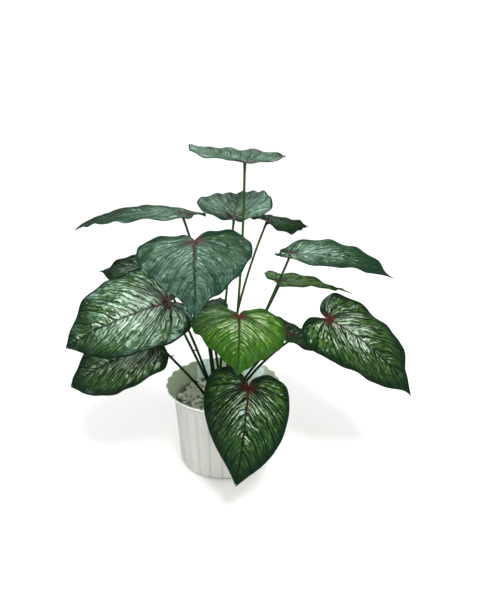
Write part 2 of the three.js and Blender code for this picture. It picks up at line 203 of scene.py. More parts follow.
LEAVES = (
    Leaf("top", (25, 10, 352), (5, 3), 120, 4, 2, 116, 0.96, 0.9, 0.06, 0, 0,
         18, -18, 1, 6, 0.005, 0.75, 9, -0.06, "deep", -0.13),
    Leaf("back", (13, 52, 285), (-5, 10), 86, 10, 2, 107, 0.97, 0.95, 0.03, 0.06, 0,
         28, -18, -5, -7, 0.01, 0.3, 8, 0.05, "teal", 0.01),
    Leaf("left_high", (-43, 13, 298), (-8, 3), 168, 7, 6, 123, 0.95, 0.8, 0.23, 0.06, -0.05,
         6, -16, -33, -14, 0, 0.4, 6, 0.2, "teal", -0.04),
    Leaf("right_back", (52, 60, 281), (2, 13), 37, -6, 9, 71, 0.98, 0.75, 0.03, 0, 0,
         5, -20, -14, 2, 0.02, 0.2, 6, 0.25, "deep", -0.12),
    Leaf("front_high", (-24, -58, 285), (-2, -6), 274, -9, 3, 122, 1, 0.9, 0.04, 0, 0,
         4, -13, -13, -4, 0.01, 0.85, 8, 0, "teal", -0.08),
    Leaf("left_back", (-73, 20, 235), (-13, 5), 151, -2, -18, 97, 0.88, 1.1, 0.02, 0, 0,
         6, -12, -21, -2, 0.02, 0.95, 16, 0.1, "deep", 0),
    Leaf("left_mid", (-54, -41, 216), (-10, -8), 190, -13, -28, 118, 1.05, 0.85, 0.27, 0.06, 0,
         10, -10, -24, -11, 0.015, 0, 20, 0, "deep", 0.03),
    Leaf("left_low", (-69, -37, 168), (-17, -11), 186, -17, -25, 110, 0.97, 0.45, 0.26, -0.03, 0,
         12, -9, -24, -15, 0.025, 0.2, 30, 0, "deep", 0.02),
    Leaf("front_mid", (19, -83, 217), (4, -11), 271, -2, -7, 102, 1, 1.15, 0.07, 0, 0.02,
         3, -19, -8, -9, 0.01, 0.3, 18, 0, "light", -0.01),
    Leaf("front_low", (29, -64, 130), (9, -16), 265, -32, -16, 99, 1.02, 0.95, 0.18, -0.06, 0,
         2, -10, -30, 15, 0.015, 0.35, 20, 0.1, "deep", -0.045),
    Leaf("right_high", (76, 10, 254), (10, 0), -8, 7, -5, 113, 0.95, 0.65, 0.03, 0, 0,
         9, -9, -35, 26, 0.02, 0.2, 18, 0, "teal", 0.01),
    Leaf("right_inner", (69, 50, 209), (9, 9), 16, -6, -3, 89, 0.95, 0.8, 0.03, 0, 0.15,
         13, -14, -12, 0, 0.015, 0.6, 22, 0, "light", 0.03),
    Leaf("right_low", (115, -20, 189), (15, -5), -25, -18, 10, 121, 1.04, 0.7, 0.15, 0, 0,
         7, -14, -40, 9, 0.02, 0.4, 28, 0.5, "deep", -0.02),
    Leaf("right_back_low", (77, 35, 148), (16, 4), 36, -18, 12, 95, 0.93, 0.95, 0.05, 0, 0,
         10, -19, -22, 0, 0.02, 0.1, 30, 0.2, "deep", -0.1),
    Leaf("back_small", (-23, 40, 178), (-12, 11), 77, 3, -7, 59, 1, 1, 0.02, 0, 0,
         3, -22, -21, -6, 0.025, 0.85, 10, 0, "deep", -0.12),
)


def mix(a, b, t):
    return a + (b - a) * t


def colour(red, green, blue):
    """Colour as a shader socket takes it, from screen values of 0 to 255"""
    def linear(value):
        share = value / 255
        if share <= 0.04045:
            return share / 12.92
        return ((share + 0.055) / 1.055) ** 2.4
    return (linear(red), linear(green), linear(blue), 1)


def deselect_all():
    bpy.ops.object.select_all(action="DESELECT")


def select_only(*objects):
    deselect_all()
    for one in objects:
        one.select_set(True)
    bpy.context.view_layer.objects.active = objects[0]


class Finish:
    """A material, with short ways to add nodes to it"""

    def __init__(self, name, **sockets):
        self.material = bpy.data.materials.new(name)
        self.material.use_nodes = True
        self.nodes = self.material.node_tree.nodes
        self.links = self.material.node_tree.links
        self.shader = self.nodes["Principled BSDF"]
        for socket, value in sockets.items():
            self.shader.inputs[socket.replace("_", " ")].default_value = value

    def fill(self, socket, value):
        """Gives a socket a number, a colour or another node's output"""
        if isinstance(value, bpy.types.NodeSocket):
            self.links.new(value, socket)
        else:
            socket.default_value = value

    def put(self, kind, sockets=(), **settings):
        node = self.nodes.new("ShaderNode" + kind)
        for name, value in settings.items():
            setattr(node, name, value)
        for key, value in dict(sockets).items():
            self.fill(node.inputs[key], value)
        return node

    def maths(self, operation, *values):
        node = self.put("Math", operation=operation)
        for socket, value in zip(node.inputs, values):
            self.fill(socket, value)
        return node.outputs[0]

    def plus(self, total, *others):
        for other in others:
            total = self.maths("ADD", total, other)
        return total

    def times(self, product, *others):
        for other in others:
            product = self.maths("MULTIPLY", product, other)
        return product

    def less(self, value, taken):
        return self.maths("SUBTRACT", value, taken)

    def size_of(self, value):
        return self.maths("ABSOLUTE", value)

    def larger(self, first, second):
        return self.maths("MAXIMUM", first, second)

    def ease(self, value, low, high, start=0, end=1):
        """Smooth change from start to end while the value goes from low to high"""
        return self.put("MapRange", {
            "Value": value, "From Min": low, "From Max": high, "To Min": start, "To Max": end,
        }, interpolation_type="SMOOTHSTEP").outputs["Result"]

    def off_middle(self, count):
        """How far a running count is from the middle of its present whole step, 0 to 0.5"""
        return self.size_of(self.less(self.maths("FRACT", count), 0.5))

    def blend(self, share, first, second):
        node = self.put("Mix", data_type="RGBA")
        for index, value in zip(MIX_INPUTS, (share, first, second)):
            self.fill(node.inputs[index], value)
        return node.outputs[MIX_OUTPUT]

    def noise(self, place, scale, detail=2, roughness=0.5, warp=0):
        return self.put("TexNoise", {
            "Vector": place, "Scale": scale, "Detail": detail, "Roughness": roughness,
            "Distortion": warp,
        }).outputs["Fac"]

    def place(self, x, y, z):
        return self.put("CombineXYZ", {"X": x, "Y": y, "Z": z}).outputs[0]

    def attribute(self, name):
        return self.put("Attribute", attribute_name=name).outputs["Fac"]

    def object_place(self):
        return self.put("TexCoord").outputs["Object"]

    def axis(self, letter):
        """One object coordinate in millimetres: X to the right, Y to the back, Z up"""
        spread = self.put("SeparateXYZ", {"Vector": self.object_place()})
        return self.times(spread.outputs[letter], 1 / MM)

    def brushed(self, scale, detail, squeeze):
        """Noise drawn out upwards, as marks of moulding or growth"""
        drawn = self.put("Mapping", {"Vector": self.object_place(), "Scale": (1, 1, squeeze)})
        return self.noise(drawn.outputs[0], scale, detail)

    def bump(self, height, distance, strength=1):
        node = self.put("Bump", {"Height": height, "Distance": distance, "Strength": strength})
        self.links.new(node.outputs["Normal"], self.shader.inputs["Normal"])

    def paint(self, value):
        self.fill(self.shader.inputs["Base Color"], value)
        return self.material


# Leaf and soil colours
BladeTints = namedtuple("BladeTints", "margin ground fleck streak vein")
BLADE_TINTS = {
    "deep": BladeTints(colour(12, 40, 18), colour(26, 56, 20), colour(78, 112, 52),
                       colour(186, 204, 184), colour(5, 24, 8)),
    # The teal tints are painted sheen: the leaves' green shifted towards the mint of the reflection they
    # show
    "teal": BladeTints(colour(24, 56, 40), colour(26, 56, 34), colour(74, 108, 62),
                       colour(150, 182, 160), colour(18, 46, 30)),
    "light": BladeTints(colour(40, 82, 4), colour(50, 94, 10), colour(94, 142, 42),
                        colour(172, 198, 144), colour(32, 68, 12)),
}
CRIMSON = colour(86, 16, 28)
SoilTints = namedtuple("SoilTints", "low high crust")
CHIP_BED_TINTS = SoilTints(colour(56, 62, 44), colour(90, 98, 74), colour(122, 128, 104))
POTTING_SOIL_TINTS = SoilTints(colour(44, 40, 30), colour(78, 74, 58), colour(110, 108, 88))


def blade_finish(name, tints):
    """Upper side of a blade: dark veins, pale strokes drawn out along them, plain margin, crimson heart"""
    made = Finish(name, Roughness=0.3, Specular_IOR_Level=0.8, Specular_Tint=(0.82, 1, 0.9, 1))
    along = made.attribute("along")
    gap = made.attribute("vein_gap")
    edge = made.attribute("edge")
    core = made.attribute("core")
    panel = made.attribute("panel")
    rib_apart = made.attribute("rib")
    leaf_seed = made.attribute("leaf_seed")
    streaking = made.attribute("streaking")

    def pattern(x, y, seed, detail=2, roughness=0.5):
        """Uneven pattern that no two leaves share"""
        return made.noise(made.place(x, y, made.plus(leaf_seed, seed)), 1, detail, roughness)

    # Main veins, with a little natural wandering
    sway = pattern(made.times(along, 0.07), made.times(panel, 0.9), 0)
    swayed = made.plus(panel, made.times(made.less(sway, 0.5), 0.25))
    apart = made.times(made.off_middle(swayed), gap)
    width = made.ease(core, 0, 0.7, 0.6, 0.3)
    nearest = made.maths("MINIMUM", apart, made.times(rib_apart, 0.8))
    main = made.ease(nearest, width, made.plus(width, 0.7), 1, 0)

    # Finer veins run with the main ones and come and go
    bend = pattern(made.times(along, 0.06), made.times(panel, 1.6), 11)
    lane = made.plus(made.times(swayed, FINE_VEINS_A_PANEL), made.times(made.less(bend, 0.5), 2))
    off_lane = made.times(made.off_middle(lane), gap, 0.33)
    presence = pattern(made.times(along, 0.08), made.times(made.maths("FLOOR", lane), 3.7), 0, 1)
    fine = made.times(made.ease(off_lane, 0.2, 0.75, 1, 0), made.ease(presence, 0.34, 0.5, 0.15, 0.9))
    veins = made.larger(main, made.times(fine, made.ease(edge, 2, 8, 0.2, 0.9)))

    # Pale strokes drawn out along the veins, broad near the midrib and broken near the margin
    body = pattern(lane, made.times(along, 0.09), 20)
    fibre = pattern(made.times(lane, 3.8), made.times(along, 0.14), 40, 3, 0.65)
    fleck = pattern(made.times(lane, 2.6), made.times(along, 0.16), 80, 3, 0.6)
    outward = made.maths("DIVIDE", rib_apart, made.plus(rib_apart, edge))
    near_rib = made.ease(outward, 0.05, 0.85, 0.03, -0.06)
    near_stem = made.ease(core, 0.15, 0.9, 0.06, -0.14)
    ragged = made.plus(edge, made.times(made.less(fibre, 0.5), 16))
    centre = made.ease(off_lane, 0.2, 1)
    between = made.ease(centre, 0, 1, 0.3, 1)
    amount = made.plus(made.times(body, 0.4), made.times(fibre, 0.7), near_rib, near_stem, streaking,
                       made.times(centre, 0.07))
    white = made.times(made.ease(amount, 0.61, 0.7), made.ease(ragged, 5, 11), between)
    lush = made.plus(fleck, streaking, made.times(near_stem, 0.5))
    green = made.times(made.ease(lush, 0.4, 0.6, 0.05, 1), between, made.ease(ragged, 2, 11),
                       made.ease(core, 0.6, 0.92, 1, 0.2))

    ground = made.blend(made.ease(edge, 3, 12), tints.margin, tints.ground)
    flecked = made.blend(made.times(green, 0.95), ground, tints.fleck)
    streaked = made.blend(made.times(white, 0.92), flecked, tints.streak)
    netted = made.blend(made.times(veins, 0.94), streaked, tints.vein)

    # Crimson round the stem and up the first part of the main veins
    stain = made.plus(core, made.times(made.less(fibre, 0.5), 0.07))
    blush = made.ease(stain, 0.03, 0.07, 1, 0)
    arm = made.ease(core, 0.02, 0.26, 1.2, 0.3)
    threads = made.times(made.ease(apart, made.times(arm, 0.5), arm, 1, 0),
                         made.ease(stain, 0.07, 0.14, 1, 0))
    spine = made.times(made.ease(rib_apart, made.times(arm, 0.8), made.times(arm, 1.8), 1, 0),
                       made.ease(stain, 0.2, 0.42, 1, 0))
    crimson = made.larger(blush, made.larger(threads, spine))

    pucker = pattern(made.times(lane, 0.45), made.times(along, 0.13), 120)
    relief = made.less(made.plus(pucker, made.times(fibre, 0.25)), made.times(veins, 0.4))
    made.bump(relief, 0.0014, 0.8)
    return made.paint(made.blend(made.times(crimson, 0.92), netted, CRIMSON))


def underside_finish(name, tints):
    """Underside of a blade: plain, paler, with the veins standing out"""
    made = Finish(name, Roughness=0.6, Specular_IOR_Level=0.35)
    off_vein = made.times(made.off_middle(made.attribute("panel")), made.attribute("vein_gap"))
    ridge = made.larger(made.ease(off_vein, 0.4, 1.1, 1, 0),
                        made.ease(made.attribute("rib"), 0.6, 1.5, 1, 0))
    mottle = made.noise(made.object_place(), 160, 3)
    ground = made.blend(made.ease(mottle, 0.3, 0.7, 0.25, 0.6), tints.ground, tints.fleck)
    made.bump(ridge, 0.0006, 0.8)
    return made.paint(made.blend(made.times(ridge, 0.45), ground, tints.streak))


def edge_finish():
    """Thin dark green rim of a blade"""
    made = Finish("blade_rim", Roughness=0.5)
    shade = made.noise(made.object_place(), 90)
    return made.paint(made.blend(shade, colour(18, 42, 18), colour(40, 64, 34)))


def stem_finish():
    """Smooth green stem with fine lengthwise streaks, painted nearly black-green low down as the shade
    under the leaves
    """
    made = Finish("stem_green", Roughness=0.42, Specular_IOR_Level=0.2)
    streak = made.brushed(900, 2, 0.05)
    low = made.blend(streak, colour(8, 26, 4), colour(22, 46, 12))
    high = made.blend(streak, colour(28, 58, 18), colour(54, 86, 34))
    made.bump(streak, 0.0002, 0.4)
    # Painted shade: nearly black-green low down under the leaves, lighter higher up
    return made.paint(made.blend(made.ease(made.axis("Z"), *STEM_LIT_RISE), low, high))


def pot_finish():
    """Off-white plastic, thin enough to glow, with faint moulding marks, painted shade along the pleat
    grooves, a painted shadow band under the lip and a painted highlight on its edge
    """
    made = Finish("pot_plastic", Roughness=0.45, Subsurface_Weight=0.35, Subsurface_Scale=0.004,
                  Subsurface_Radius=(1, 1, 1))
    cloud = made.noise(made.object_place(), 22, 4)
    brush = made.brushed(420, 3, 0.12)
    tone = made.blend(cloud, colour(184, 186, 179), colour(200, 201, 196))
    tone = made.blend(made.ease(brush, 0.35, 0.75, 0, 0.25), tone, colour(170, 175, 162))
    angle = made.maths("ARCTAN2", made.axis("Y"), made.axis("X"))
    off_groove = made.less(0.5, made.off_middle(made.times(angle, PLEATS / (2 * math.pi))))
    # Painted shade: thin greyer lines along the pleat grooves
    tone = made.blend(made.ease(off_groove, 0, 0.2, 0.22, 0), tone, colour(146, 154, 136))
    height = made.axis("Z")
    # Painted shadow in a band under the lip, and a painted near-white highlight on the lip's edge
    tone = made.blend(made.ease(height, *LIP_SHADE_RISE, 0, 0.6), tone, colour(150, 158, 140))
    tone = made.blend(made.ease(height, *LIP_HIGHLIGHT_RISE), tone, colour(250, 250, 246))
    made.bump(brush, 0.0002, 0.25)
    return made.paint(tone)


def pot_inside_finish():
    """Inside of the collar: the same plastic painted greenish as shade under the leaves, with two thin mint
    panels of painted light where light falls between them
    """
    made = Finish("pot_inside", Roughness=0.5, Subsurface_Weight=0.3, Subsurface_Scale=0.004,
                  Subsurface_Radius=(1, 1, 1))
    across = made.axis("X")
    # Two panels of painted mint light on the back of the collar, where light falls between the leaves
    lit_panels = 0
    for middle, half_width, faded in PAINTED_LIGHT_PANELS:
        apart = made.size_of(made.less(across, middle))
        lit_panels = made.larger(lit_panels, made.ease(apart, half_width, faded, 1, 0))
    at_back = made.ease(made.axis("Y"), *COLLAR_BACK)
    brush = made.brushed(300, 3, 0.1)
    # The greenish tone is painted shade and leaf-green light; the mint is painted light
    shade = made.blend(brush, colour(160, 176, 148), colour(186, 198, 172))
    mint = made.blend(made.ease(brush, 0.4, 0.6), colour(196, 226, 212), colour(232, 252, 246))
    made.bump(brush, 0.0002, 0.3)
    return made.paint(made.blend(made.times(lit_panels, at_back), shade, mint))


def chip_finish():
    """Pale grey-green stone, each chip its own tone, with dusty grain"""
    made = Finish("stone_chips", Roughness=0.8, Specular_IOR_Level=0.3)
    place = made.object_place()
    grain = made.noise(place, 1400, 4, 0.7)
    vein = made.noise(place, 240, 3, 0.6, 0.8)
    body = made.blend(made.attribute("chip_tone"), colour(182, 192, 168), colour(238, 240, 228))
    dusty = made.blend(made.ease(vein, 0.5, 0.68, 0, 0.5), body, colour(132, 144, 116))
    made.bump(grain, 0.0003, 0.6)
    return made.paint(made.blend(made.ease(grain, 0.35, 0.8, 0, 0.25), dusty, colour(228, 230, 218)))


def soil_finish(name, tints):
    """Dark crumbly potting soil"""
    made = Finish(name, Roughness=0.95, Specular_IOR_Level=0.15)
    place = made.object_place()
    crumb = made.put("TexVoronoi", {"Vector": place, "Scale": 420}).outputs["Distance"]
    damp = made.noise(place, 60, 4)
    made.bump(crumb, 0.0008, 0.9)
    dark = made.blend(damp, tints.low, tints.high)
    return made.paint(made.blend(made.ease(crumb, 0.1, 0.6), dark, tints.crust))


def floor_finish():
    """Plain white floor"""
    made = Finish("floor_white", Roughness=0.9, Specular_IOR_Level=0.1)
    return made.paint(colour(255, 255, 254))


def cubic(points, t):
    """Points on a cubic curve at the shares t"""
    weights = ((1 - t) ** 3, 3 * t * (1 - t) ** 2, 3 * t * t * (1 - t), t ** 3)
    return sum(weight[:, None] * np.array(point, float) for weight, point in zip(weights, points))


def margin(q, full):
    """Margin of a flat blade of unit length: q = 0 at the notch, q = 1 at the tip"""
    lobe = cubic(LOBE_CURVE, np.clip(q / LOBE_END, 0, 1))
    t = np.clip((q - LOBE_END) / (1 - LOBE_END), 0, 1)
    side = cubic(SIDE_CURVE, t)
    side[:, 0] += full * 3 * t * t * (1 - t)
    return np.where((q < LOBE_END)[:, None], lobe, side)


def margin_share(u):
    """Where on the margin the vein line u ends: lines crowd towards the tip"""
    first, second, third = VEIN_ENDS
    return first * u + second * u * u + third * u ** 3


def vein_root(u):
    """Where on the midrib the vein line u starts, as a share of the length"""
    def behind(straight):
        return 0.5 * (straight + np.hypot(straight, VEIN_SOFTNESS))
    return (behind((u - FIRST_RIB_VEIN) / (1 - FIRST_RIB_VEIN)) / behind(1)) ** RIB_SPREAD


def arc(angle, turn, distance):
    """Travel along a line that starts at an angle and turns steadily"""
    straight = 1e-9
    turn = np.where(np.abs(turn) < straight, straight, turn)
    end = angle + turn * distance
    return (np.sin(end) - np.sin(angle)) / turn, (np.cos(angle) - np.cos(end)) / turn


def leaf_axes(leaf):
    """Forward, right and up directions of a leaf at its attachment"""
    psi = math.radians(leaf.heading)
    theta = math.radians(leaf.pitch)
    rho = math.radians(leaf.roll)
    forward = np.array((math.cos(psi) * math.cos(theta), math.sin(psi) * math.cos(theta), math.sin(theta)))
    level = np.array((math.sin(psi), -math.cos(psi), 0))
    right = level * math.cos(rho) - np.cross(level, forward) * math.sin(rho)
    return forward, right, np.cross(right, forward)


def flat_blade(leaf, u, s, side):
    """Flat places on one half of a blade, in millimetres: s of the way out on the vein line u"""
    end = margin(margin_share(u), leaf.full + side * leaf.skew)
    end[:, 1] = np.where(end[:, 1] < 0, end[:, 1] * leaf.lobe, end[:, 1])
    near_tip = np.clip((margin_share(u) - (1 - TIP_SHARE)) / TIP_SHARE, 0, 1)
    end[:, 1] += TIP_REACH * near_tip ** 2
    start = np.stack((np.zeros_like(u), vein_root(u)), -1)
    across = end - start
    middle = (start + end) / 2 + VEIN_BOW * np.stack((across[:, 1], -across[:, 0]), -1)
    t = s[:, None]
    flat = (1 - t) ** 2 * start + 2 * t * (1 - t) * middle + t * t * end
    return flat * (leaf.length * leaf.width, leaf.length)


def quilting(u, s):
    """Puffed tissue between the main veins, highest in the middle of a panel"""
    wave = np.abs(np.cos(math.pi * VEINS_A_SIDE * u)) ** QUILT_ROUNDNESS
    fade = np.clip((1 - u) / QUILT_FADE, 0, 1)
    return VEIN_DEPTH * (wave - 0.5) * np.sin(math.pi * np.minimum(1, s / QUILT_REACH)) * fade


def dents(leaf, x, y):
    """Slow, uneven dents in the tissue, none at the stem"""
    layer = DENT_VARIETY * leaf.phase
    height = [noise.noise(Vector((a / DENT_LENGTH, b / DENT_LENGTH, layer))) for a, b in zip(x, y)]
    return DENT_HEIGHT * np.array(height) * np.clip(np.hypot(x, y) / DENT_LENGTH, 0, 1)


def waves(q, count, phase):
    """Even waves along the margin, calm at the notch and at the tip"""
    calm = np.clip(np.minimum(q, 1 - q) / RIPPLE_FADE, 0, 1)
    return calm * np.sin(2 * math.pi * (count * q + phase))


def blade_points(leaf, u, s, side):
    """Points of the middle surface, in metres"""
    flat = flat_blade(leaf, u, s, side)
    x, y = flat[:, 0], flat[:, 1]
    half = HALF_WIDTH * leaf.length * leaf.width
    out, rise = arc(math.radians(leaf.fold), math.radians(leaf.curl) / half, x)
    turn = np.where(y > 0, math.radians(leaf.bend) / leaf.length, 0)
    ahead, drop = arc(0, turn, y)
    slope = turn * y
    q = margin_share(u)
    phase = leaf.phase + (RIPPLE_OFFSET if side > 0 else 0)
    ripple = leaf.wave * leaf.length * s ** 2 * waves(q, RIPPLES_A_SIDE, phase)
    frill = FRILL_HEIGHT * s ** 4 * waves(q, FRILLS_A_SIDE, FRILL_OFFSET * phase)
    lift = rise + ripple + frill + quilting(u, s) + dents(leaf, side * x, y)
    twist = math.radians(leaf.twist) * y / leaf.length
    swing = leaf.sweep * np.maximum(y, 0) ** 2 / leaf.length
    sideways = side * out * np.cos(twist) + lift * np.sin(twist) + swing
    height = -side * out * np.sin(twist) + lift * np.cos(twist)
    forward, right, up = leaf_axes(leaf)
    place = (np.array(leaf.at, float) + sideways[:, None] * right
             + (ahead - height * np.sin(slope))[:, None] * forward
             + (drop + height * np.cos(slope))[:, None] * up)
    return place * MM


def distance_to_margin(leaf, flat, side):
    """Distance of flat places to the margin of their half, in millimetres"""
    u = np.linspace(0, 1, MARGIN_POINTS)
    rim = flat_blade(leaf, u, np.ones_like(u), side)
    apart = np.hypot(flat[:, None, 0] - rim[None, :, 0], flat[:, None, 1] - rim[None, :, 1])
    return apart.min(axis=1)


def vein_spacing(leaf, u, s, side):
    """Distance between neighbouring main veins, in millimetres"""
    low = np.clip(u - VEIN_STEP, 0, 1)
    high = np.clip(u + VEIN_STEP, 0, 1)
    outward = (flat_blade(leaf, u, np.clip(s + OUTWARD_STEP, 0, 1), side)
               - flat_blade(leaf, u, np.clip(s - OUTWARD_STEP, 0, 1), side))
    outward /= np.hypot(*outward.T)[:, None]
    move = flat_blade(leaf, high, s, side) - flat_blade(leaf, low, s, side)
    across = np.abs(move[:, 0] * outward[:, 1] - move[:, 1] * outward[:, 0])
    return across / ((high - low) * VEINS_A_SIDE)


def vein_travel(leaf, u, flat, side):
    """How far flat places lie from the attachment in the direction of their vein, in millimetres"""
    heading = flat_blade(leaf, u, np.ones_like(u), side) - flat_blade(leaf, u, np.zeros_like(u), side)
    return (flat * heading).sum(axis=1) / np.maximum(np.hypot(*heading.T), SHORTEST)


def blade_half(leaf, side, seed):
    """One half of a blade: a grid laid on the leaf, one row a line from midrib to margin"""
    deselect_all()
    bpy.ops.mesh.primitive_grid_add(
        x_subdivisions=VEINS_A_SIDE * ROWS_A_VEIN, y_subdivisions=BLADE_COLUMNS, size=1)
    half = bpy.context.object
    mesh = half.data
    place = np.zeros(len(mesh.vertices) * 3)
    mesh.vertices.foreach_get("co", place)
    place = place.reshape(-1, 3)
    u = np.clip(place[:, 0] + 0.5, 0, 1)
    s = np.clip(place[:, 1] + 0.5, 0, 1)
    flat = flat_blade(leaf, u, s, side)
    values = {
        "panel": VEINS_A_SIDE * u,
        "vein_gap": vein_spacing(leaf, np.clip(u, FIRST_MEASURED, LAST_MEASURED), s, side),
        "along": vein_travel(leaf, np.clip(u, 0, LAST_MEASURED), flat, side),
        "edge": distance_to_margin(leaf, flat, side),
        "core": np.hypot(*flat.T) / leaf.length,
        "rib": np.where(flat[:, 1] > 0, flat[:, 0], np.hypot(*flat.T)),
        "leaf_seed": np.full_like(u, seed + (HALF_SEED if side > 0 else 0)),
        "streaking": np.full_like(u, leaf.streaking),
    }
    for name, value in values.items():
        mesh.attributes.new(name, "FLOAT", "POINT").data.foreach_set("value", value.astype(np.float32))
    mesh.vertices.foreach_set("co", blade_points(leaf, u, s, side).ravel())
    mesh.update()
    return half


def upward(mesh, axis):
    """Turns the faces over if most of them look away from the axis"""
    facing = sum(face.normal.dot(axis) * face.area for face in mesh.polygons)
    if facing < 0:
        mesh.flip_normals()


def make_blade(leaf, seed, finishes):
    halves = [blade_half(leaf, side, seed) for side in (1, -1)]
    axis = Vector(leaf_axes(leaf)[2])
    for half in halves:
        upward(half.data, axis)
    select_only(*halves)
    bpy.ops.object.join()
    blade = bpy.context.object
    bpy.ops.object.mode_set(mode="EDIT")
    bpy.ops.mesh.select_all(action="SELECT")
    bpy.ops.mesh.remove_doubles(threshold=MERGE_GAP * MM)
    bpy.ops.mesh.dissolve_degenerate(threshold=MERGE_GAP / 2 * MM)
    bpy.ops.object.mode_set(mode="OBJECT")
    blade.name = "leaf_" + leaf.name
    for one in finishes:
        blade.data.materials.append(one)
    sheet = blade.modifiers.new("sheet", "SOLIDIFY")
    sheet.thickness = BLADE_THICKNESS * MM
    sheet.offset = 0
    sheet.material_offset = 1
    sheet.material_offset_rim = 2
    bpy.ops.object.modifier_apply(modifier="sheet")
    bpy.ops.object.shade_smooth()
    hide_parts("blade_" + leaf.name)
    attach(blade, "root")


def stem_route(leaf):
    """Centre line of a stem, in millimetres, from the soil to the underside of its blade"""
    at = Vector(leaf.at)
    surface = Vector((*leaf.foot, GRAVEL_TOP))
    out = Vector((at.x - surface.x, at.y - surface.y, 0)).normalized()
    lean = math.radians(leaf.lean)
    direction = Vector((0, 0, math.cos(lean))) + out * math.sin(lean)

    def reach(height):
        return surface + direction * ((height - GRAVEL_TOP) / direction.z)

    free = reach(STEM_FREE_Z)
    span = (at - free).length
    arrival = ((at - free).normalized() + out * leaf.arch).normalized()
    square = arrival.dot(Vector(leaf_axes(leaf)[2]))
    edge = CAD_STEM_RADIUS * math.sqrt(1 - square * square)
    below = CAD_BLADE_THICKNESS / 2 + FIT_GAP + SEAT_MARGIN + edge
    end = at - arrival * (below / square)
    guide = (free, free + direction * span * STEM_STRAIGHT_LOW,
             end - arrival * span * STEM_STRAIGHT_HIGH, end)
    curve = [Vector(place) for place in cubic(guide, np.linspace(0, 1, STEM_POINTS))]
    return [reach(STEM_DEPTH_Z)] + curve + [at - arrival * STEM_END_GAP]


def stem_girth(share):
    """Thickness along a stem: a sheathed foot, a slender middle, a swollen neck below the blade"""
    foot = FOOT_SWELL * math.exp(-((share / FOOT_REACH) ** 2))
    neck = NECK_SWELL * math.exp(-(((share - NECK_PLACE) / NECK_REACH) ** 2))
    return STEM_RADIUS * (mix(1, STEM_TAPER, share) + foot + neck)


def make_nub(route, share, finish):
    """Small blunt side nub on a stem"""
    index = int(share * (len(route) - 1))
    start = route[index]
    along = (route[index + 1] - start).normalized()
    side = along.cross(Vector((0, 1, 0))).normalized()
    if side.z < 0:
        side = -side
    middle = start + side * (STEM_RADIUS + NUB_REACH / 2 - NUB_SUNK)
    deselect_all()
    bpy.ops.mesh.primitive_cone_add(vertices=NUB_SIDES, radius1=NUB_RADIUS * MM,
                                    radius2=NUB_RADIUS * NUB_TIP * MM, depth=NUB_REACH * MM)
    nub = bpy.context.object
    turn = side.to_track_quat("Z", "Y").to_matrix().to_4x4()
    nub.data.transform(Matrix.Translation(middle * MM) @ turn)
    nub.data.materials.append(finish)
    return nub


def make_stem(leaf, finish):
    route = stem_route(leaf)
    last = len(route) - 1
    deselect_all()
    bpy.ops.curve.primitive_nurbs_path_add()
    line = bpy.context.object.data
    line.splines.clear()
    spline = line.splines.new("POLY")
    spline.points.add(last)
    for index, (point, place) in enumerate(zip(spline.points, route)):
        point.co = (*(place * MM), 1)
        point.radius = stem_girth(index / last)
    line.bevel_depth = MM
    line.bevel_resolution = 4
    line.use_fill_caps = True
    select_only(bpy.context.object)
    bpy.ops.object.convert(target="MESH")
    stem = bpy.context.object
    stem.name = "stalk_" + leaf.name
    stem.data.materials.clear()
    stem.data.materials.append(finish)
    nubs = [make_nub(route, share, finish) for share in NUBS.get(leaf.name, ())]
    if nubs:
        select_only(stem, *nubs)
        bpy.ops.object.join()
    bpy.ops.object.shade_smooth()
    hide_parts("petiole_" + leaf.name)
    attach(stem, "root")


# A level line round the outside of the pot, with its shares of the pleats' depth and of the scallops
Ring = namedtuple("Ring", "radius height pleat scallop")


def pot_rings():
    """Rings up the pot: rounded foot, straight body, flared collar"""
    rings = []
    for k in range(FOOT_STEPS + 1):
        turn = math.pi / 2 * k / FOOT_STEPS
        rings.append(Ring(POT_FOOT_RADIUS - POT_FOOT_ROUND * (1 - math.sin(turn)),
                          POT_FOOT_ROUND * (1 - math.cos(turn)), k / FOOT_STEPS, 0))
    for k in range(1, BODY_STEPS):
        t = k / BODY_STEPS
        rings.append(Ring(mix(POT_FOOT_RADIUS, POT_NECK_RADIUS, t),
                          mix(POT_FOOT_ROUND, POT_NECK_Z, t), 1, 0))
    for k in range(COLLAR_STEPS + 1):
        t = k / COLLAR_STEPS
        rings.append(Ring(mix(POT_NECK_RADIUS, POT_RIM_RADIUS, t ** COLLAR_FLARE),
                          mix(POT_NECK_Z, POT_HEIGHT - SCALLOP_RISE, t), 1 - PLEAT_FADE * t, t * t))
    return rings


def pot_shell(rings):
    """Plain pot without a wall: a round foot whose edge is drawn up ring by ring"""
    foot = rings[0].radius
    deselect_all()
    bpy.ops.mesh.primitive_circle_add(vertices=PLEATS * POINTS_A_PLEAT, radius=foot * MM, fill_type="NGON")
    pot = bpy.context.object
    bpy.ops.object.mode_set(mode="EDIT")
    bpy.ops.mesh.select_mode(type="EDGE")
    bpy.ops.mesh.select_all(action="SELECT")
    bpy.ops.mesh.inset(thickness=FOOT_DISC_INSET * MM)
    bpy.ops.mesh.select_all(action="DESELECT")
    bpy.ops.object.mode_set(mode="OBJECT")
    for edge in pot.data.edges:
        ends = [pot.data.vertices[v].co for v in edge.vertices]
        edge.select = all(abs(end.xy.length / MM - foot) < RING_MARGIN for end in ends)
    bpy.ops.object.mode_set(mode="EDIT")
    for before, after in zip(rings, rings[1:]):
        rise = (after.height - before.height) * MM
        grow = after.radius / before.radius
        bpy.ops.mesh.extrude_edges_move(TRANSFORM_OT_translate={"value": (0, 0, rise)})
        bpy.ops.transform.resize(value=(grow, grow, 1), center_override=(0, 0, after.height * MM))
    bpy.ops.mesh.select_all(action="SELECT")
    bpy.ops.mesh.normals_make_consistent(inside=True)
    bpy.ops.object.mode_set(mode="OBJECT")
    return pot


